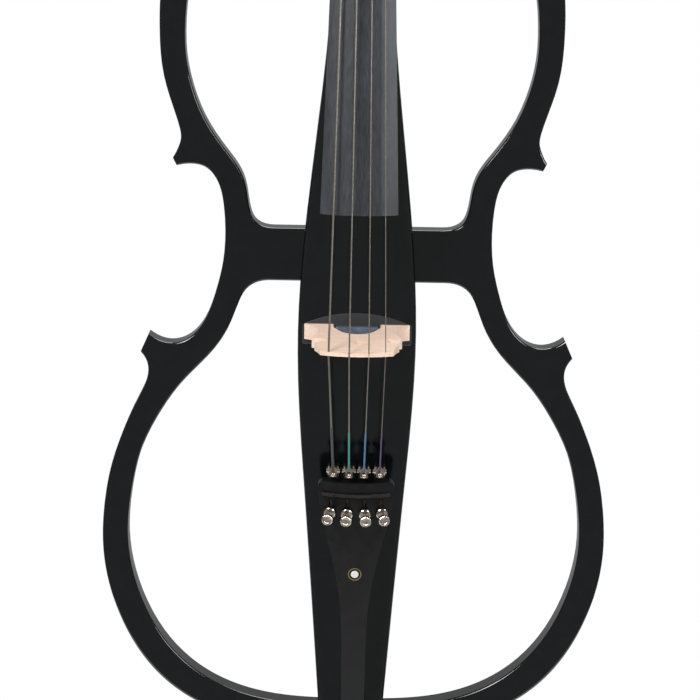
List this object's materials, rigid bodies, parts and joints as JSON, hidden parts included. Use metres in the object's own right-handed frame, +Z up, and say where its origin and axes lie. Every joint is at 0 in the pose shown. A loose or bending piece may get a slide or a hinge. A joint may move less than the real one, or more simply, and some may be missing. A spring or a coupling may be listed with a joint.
{
  "type": "electric cello",
  "caption": "Electric cello: a narrow solid spine with open side wings in a cello's outline, neck, tuning pegs, bridge, fine tuners and sliding endpin.",
  "frame": {"origin": "tip of the stowed endpin, on the endpin's axis", "axes": "+Z up along the neck to the scroll, -Y out of the front where the strings are, +X to the right seen from the front"},
  "size_m": [0.4368, 0.154, 1.2974],
  "materials": {
    "battery_can": "painted steel can",
    "beech_dowel": "plain beech",
    "black_lacquer": "gloss black lacquer over maple and spruce",
    "black_plastic": "moulded plastic",
    "black_rubber": "moulded rubber",
    "board": "printed circuit board",
    "chrome": "polished nickel plate",
    "ebony": "polished ebony",
    "fingerboard_ebony": "satin ebony",
    "gut": "braided synthetic cord",
    "maple": "unvarnished maple",
    "pearl": "mother of pearl",
    "pickup_resin": "glossy resin",
    "silk_a": "silk wrap",
    "silk_c": "silk wrap",
    "silk_d": "silk wrap",
    "silk_g": "silk wrap",
    "steel": "turned steel",
    "string_steel": "wound steel",
    "tail_ebony": "satin black composite"
  },
  "bodies": {
    "frame": {"battery": "battery_can", "battery_box": "black_plastic", "bridge": "maple", "control_plate": "black_plastic", "endpin_collar": "ebony", "endpin_socket": "steel", "eye_pearl": "pearl", "eye_ring": "chrome", "fingerboard": "fingerboard_ebony", "line_out_jack": "chrome", "mini_jacks": "chrome", "neck": "black_lacquer", "nut": "ebony", "pickup_bar": "pickup_resin", "pickup_base": "black_plastic", "pickup_lead": "black_plastic", "plate_screws": "chrome", "preamp_board": "board", "saddle": "ebony", "silk_a": "silk_a", "silk_c": "silk_c", "silk_d": "silk_d", "silk_g": "silk_g", "spine": "black_lacquer", "string_a": "string_steel", "string_c": "string_steel", "string_d": "string_steel", "string_g": "string_steel", "tailgut": "gut", "tailpiece": "tail_ebony", "tailpiece_fret": "ebony", "tuner_frames": "chrome", "tuner_nuts": "chrome", "tuner_pins": "chrome", "wing_dowels": "beech_dowel", "wing_left": "black_lacquer", "wing_right": "black_lacquer"},
    "peg_c": {"peg_c": "ebony", "coil_c": "string_steel"},
    "tuner_lever_c": {"tuner_lever_c": "chrome"},
    "tuner_screw_c": {"tuner_screw_c": "chrome"},
    "peg_g": {"peg_g": "ebony", "coil_g": "string_steel"},
    "tuner_lever_g": {"tuner_lever_g": "chrome"},
    "tuner_screw_g": {"tuner_screw_g": "chrome"},
    "peg_d": {"peg_d": "ebony", "coil_d": "string_steel"},
    "tuner_lever_d": {"tuner_lever_d": "chrome"},
    "tuner_screw_d": {"tuner_screw_d": "chrome"},
    "peg_a": {"peg_a": "ebony", "coil_a": "string_steel"},
    "tuner_lever_a": {"tuner_lever_a": "chrome"},
    "tuner_screw_a": {"tuner_screw_a": "chrome"},
    "endpin": {"endpin_rod": "steel", "endpin_tip": "black_rubber"},
    "endpin_screw": {"endpin_screw": "steel"},
    "volume_knob": {"volume_knob": "black_plastic"},
    "tone_knob": {"tone_knob": "black_plastic"},
    "power_switch": {"power_switch": "black_plastic"},
    "battery_door": {"battery_door": "black_plastic"}
  },
  "joints": [
    {"name": "peg_c_turn", "type": "hinge", "parent": "frame", "child": "peg_c", "pos_m": [-0.02438, -0.0153, 1.13], "axis": [-1, 0, 0], "continuous": true},
    {"name": "peg_g_turn", "type": "hinge", "parent": "frame", "child": "peg_g", "pos_m": [-0.02119, -0.00475, 1.187], "axis": [-1, 0, 0], "continuous": true},
    {"name": "peg_d_turn", "type": "hinge", "parent": "frame", "child": "peg_d", "pos_m": [0.01962, 0.00042, 1.215], "axis": [1, 0, 0], "continuous": true},
    {"name": "peg_a_turn", "type": "hinge", "parent": "frame", "child": "peg_a", "pos_m": [0.02281, -0.01012, 1.158], "axis": [1, 0, 0], "continuous": true},
    {"name": "tuner_c_screw", "type": "hinge", "parent": "frame", "child": "tuner_screw_c", "pos_m": [-0.02203, -0.09602, 0.26335], "axis": [-0.1219, -0.9775, -0.1724], "range_deg": [0, 1440]},
    {"name": "tuner_c_lever", "type": "hinge", "parent": "frame", "child": "tuner_lever_c", "pos_m": [-0.0181, -0.08262, 0.30176], "axis": [1, 0, 0], "range_deg": [0, 3.4]},
    {"name": "tuner_g_screw", "type": "hinge", "parent": "frame", "child": "tuner_screw_g", "pos_m": [-0.00655, -0.09875, 0.26287], "axis": [-0.0436, -0.9839, -0.1735], "range_deg": [0, 1440]},
    {"name": "tuner_g_lever", "type": "hinge", "parent": "frame", "child": "tuner_lever_g", "pos_m": [-0.0048, -0.08262, 0.30176], "axis": [1, 0, 0], "range_deg": [0, 3.4]},
    {"name": "tuner_d_screw", "type": "hinge", "parent": "frame", "child": "tuner_screw_d", "pos_m": [0.00975, -0.09875, 0.26287], "axis": [0.0436, -0.9839, -0.1735], "range_deg": [0, 1440]},
    {"name": "tuner_d_lever", "type": "hinge", "parent": "frame", "child": "tuner_lever_d", "pos_m": [0.0078, -0.08262, 0.30176], "axis": [1, 0, 0], "range_deg": [0, 3.4]},
    {"name": "tuner_a_screw", "type": "hinge", "parent": "frame", "child": "tuner_screw_a", "pos_m": [0.02523, -0.09602, 0.26335], "axis": [0.1219, -0.9775, -0.1724], "range_deg": [0, 1440]},
    {"name": "tuner_a_lever", "type": "hinge", "parent": "frame", "child": "tuner_lever_a", "pos_m": [0.0211, -0.08262, 0.30176], "axis": [1, 0, 0], "range_deg": [0, 3.4]},
    {"name": "endpin_slide", "type": "slide", "parent": "frame", "child": "endpin", "axis": [0, 0, -1], "range_m": [0, 0.34]},
    {"name": "endpin_clamp", "type": "hinge", "parent": "frame", "child": "endpin_screw", "pos_m": [0.017, 0, 0.027], "axis": [1, 0, 0], "range_deg": [0, 720]},
    {"name": "volume_turn", "type": "hinge", "parent": "frame", "child": "volume_knob", "pos_m": [-0.02, 0.0275, 0.417], "axis": [0, 1, 0], "range_deg": [0, 280]},
    {"name": "tone_turn", "type": "hinge", "parent": "frame", "child": "tone_knob", "pos_m": [-0.02, 0.0275, 0.385], "axis": [0, 1, 0], "range_deg": [-140, 140]},
    {"name": "power_slide", "type": "slide", "parent": "frame", "child": "power_switch", "axis": [0, 0, 1], "range_m": [0, 0.004]},
    {"name": "battery_door_hinge", "type": "hinge", "parent": "frame", "child": "battery_door", "pos_m": [0.0306, 0.0266, 0.405], "axis": [0, 0, -1], "range_deg": [0, 100]}
  ],
  "couplings": [
    {"joint": "tuner_c_lever", "follows": "tuner_c_screw", "ratio": 0.0023},
    {"joint": "tuner_g_lever", "follows": "tuner_g_screw", "ratio": 0.0023},
    {"joint": "tuner_d_lever", "follows": "tuner_d_screw", "ratio": 0.0023},
    {"joint": "tuner_a_lever", "follows": "tuner_a_screw", "ratio": 0.0023}
  ]
}
